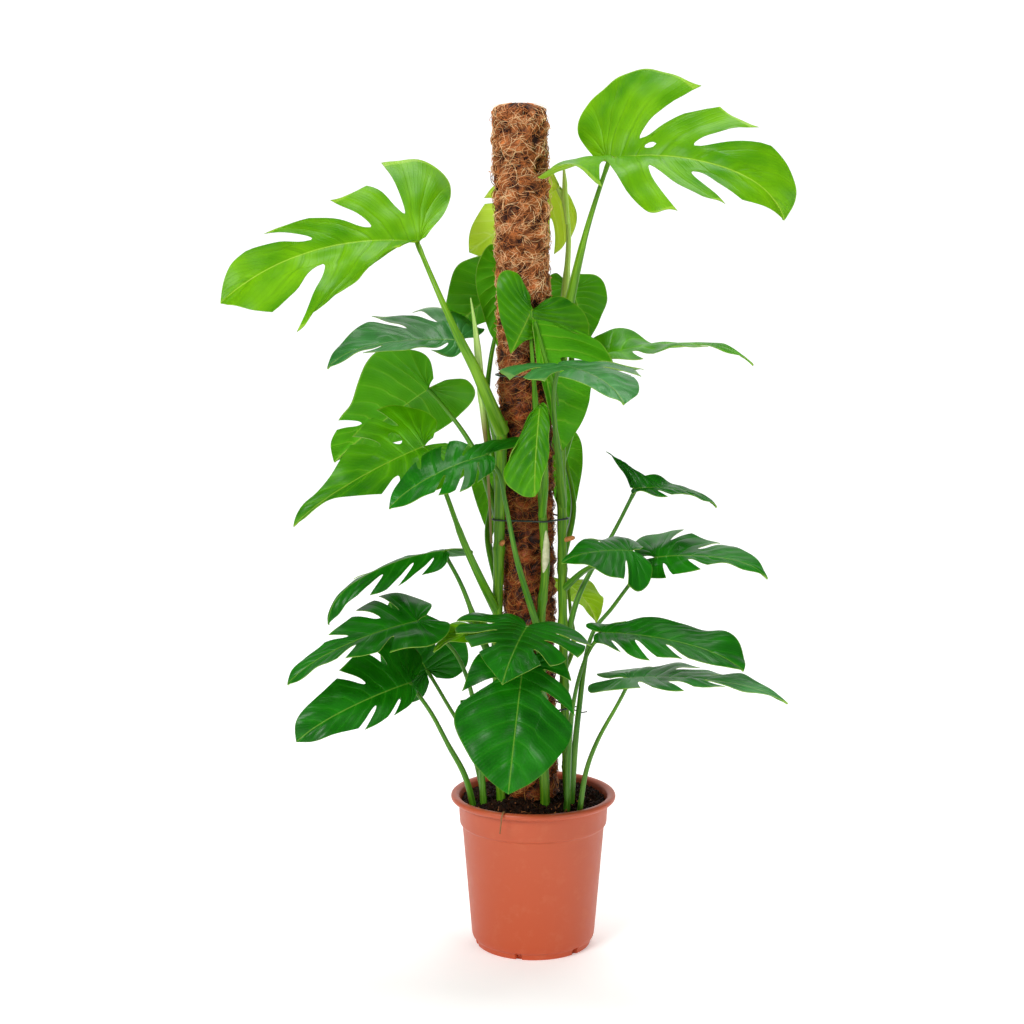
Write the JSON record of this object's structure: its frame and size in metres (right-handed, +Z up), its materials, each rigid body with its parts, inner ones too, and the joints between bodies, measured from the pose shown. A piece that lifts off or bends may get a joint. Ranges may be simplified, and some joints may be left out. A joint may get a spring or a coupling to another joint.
{
  "type": "potted climbing house plant",
  "caption": "Potted swiss cheese plant: split and holed green leaves on long stalks, stems tied to a coir moss pole, in a terracotta-coloured plastic nursery pot.",
  "frame": {"origin": "centre of the pot's underside, on the surface it stands on", "axes": "+Z up along the pole; the plant is seen from the front when looked at along +Y; +X to the right of that view"},
  "size_m": [0.7736, 0.3836, 1.2592],
  "materials": {
    "pot_plastic": "satin",
    "potting_soil": "matte",
    "coir": "matte",
    "plant_wire": "satin",
    "stem": "satin",
    "leaf": "satin"
  },
  "bodies": {
    "root": {"pot": "pot_plastic", "soil": "potting_soil", "coir_pole": "coir", "stem_left": "stem", "stem_centre": "stem", "stem_right": "stem", "tie_upper": "plant_wire", "tie_middle": "plant_wire", "tie_lower": "plant_wire", "new_leaf_left": "leaf", "leaf_01": "leaf", "leaf_02": "leaf", "leaf_03": "leaf", "leaf_04": "leaf", "leaf_05": "leaf", "leaf_06": "leaf", "leaf_07": "leaf", "leaf_08": "leaf", "leaf_09": "leaf", "leaf_10": "leaf", "leaf_11": "leaf", "leaf_12": "leaf", "leaf_13": "leaf", "leaf_14": "leaf", "leaf_15": "leaf", "leaf_16": "leaf", "leaf_17": "leaf", "leaf_18": "leaf", "leaf_19": "leaf", "leaf_20": "leaf", "leaf_21": "leaf", "leaf_22": "leaf", "leaf_23": "leaf", "leaf_24": "leaf", "leaf_25": "leaf", "leaf_26": "leaf", "leaf_27": "leaf", "leaf_28": "leaf", "leaf_29": "leaf", "leaf_30": "leaf"}
  },
  "joints": []
}
